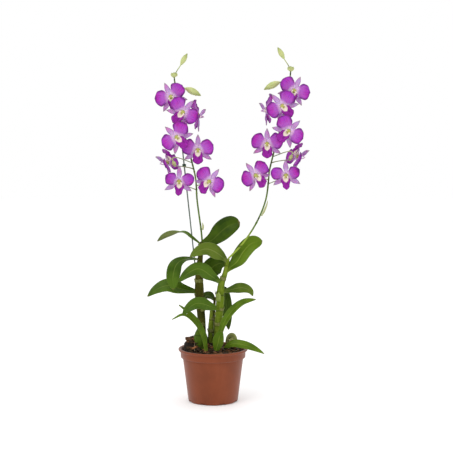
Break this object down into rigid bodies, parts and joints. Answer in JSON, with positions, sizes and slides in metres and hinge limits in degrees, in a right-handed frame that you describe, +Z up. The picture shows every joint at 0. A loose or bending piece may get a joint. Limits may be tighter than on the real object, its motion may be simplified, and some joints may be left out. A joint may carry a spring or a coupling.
{
  "type": "potted orchid",
  "caption": "Dendrobium orchid in a round terracotta-coloured nursery pot: leafy canes in bark and a pair of arching sprays of purple flowers, one held by a thin stake.",
  "frame": {"origin": "centre of the pot's flat underside, on the surface it stands on", "axes": "+Z up along the pot axis; +X to the right of a viewer who faces the flowers and looks along +Y; the flowers face -Y"},
  "size_m": [0.284, 0.122, 0.6196],
  "materials": {
    "pot_plastic": "terracotta-coloured moulded plastic, satin",
    "bark": "damp pine bark chips, rough",
    "old_cane": "ripened olive-brown cane, satin",
    "green_cane": "young yellow-green cane, satin",
    "leaf": "smooth leathery mid-green leaf, satin",
    "dry_leaf": "dry papery khaki bract, matt",
    "flower_stem": "thin green flower stem, satin",
    "bloom": "magenta-purple petals with a pale throat, soft sheen",
    "bud": "pale yellow-green closed bud, satin",
    "stake": "grey-green coated stake, satin",
    "clip": "dark green moulded clip, satin"
  },
  "bodies": {
    "root": {"bark_mix": "bark", "bulb_short": "green_cane", "cane_left": "old_cane", "cane_old": "old_cane", "cane_right": "green_cane", "cane_young": "green_cane", "clip_low": "clip", "clip_top": "clip", "leaf_back": "leaf", "leaf_dry": "dry_leaf", "leaf_left_crown": "leaf", "leaf_left_low": "leaf", "leaf_left_shoulder": "leaf", "leaf_left_top": "leaf", "leaf_over_rim": "leaf", "leaf_right_behind": "leaf", "leaf_right_crown": "leaf", "leaf_right_front": "leaf", "leaf_right_hanging": "leaf", "leaf_right_low": "leaf", "leaf_right_out": "leaf", "leaf_right_over": "leaf", "left_bloom_1": "bloom", "left_bloom_2": "bloom", "left_bloom_3": "bloom", "left_bloom_4": "bloom", "left_bloom_5": "bloom", "left_bloom_6": "bloom", "left_bloom_7": "bloom", "left_bloom_8": "bloom", "left_bract": "dry_leaf", "left_bud_hanging": "bud", "left_bud_side": "bud", "left_stem": "flower_stem", "left_tip_buds": "bud", "pot": "pot_plastic", "right_bloom_1": "bloom", "right_bloom_2": "bloom", "right_bloom_3": "bloom", "right_bloom_4": "bloom", "right_bloom_5": "bloom", "right_bloom_6": "bloom", "right_bloom_7": "bloom", "right_bloom_8": "bloom", "right_bract": "dry_leaf", "right_bud_hanging": "bud", "right_bud_side": "bud", "right_stem": "flower_stem", "right_tip_buds": "bud", "shoot_left": "leaf", "shoot_right": "leaf", "stake": "stake"}
  },
  "joints": []
}
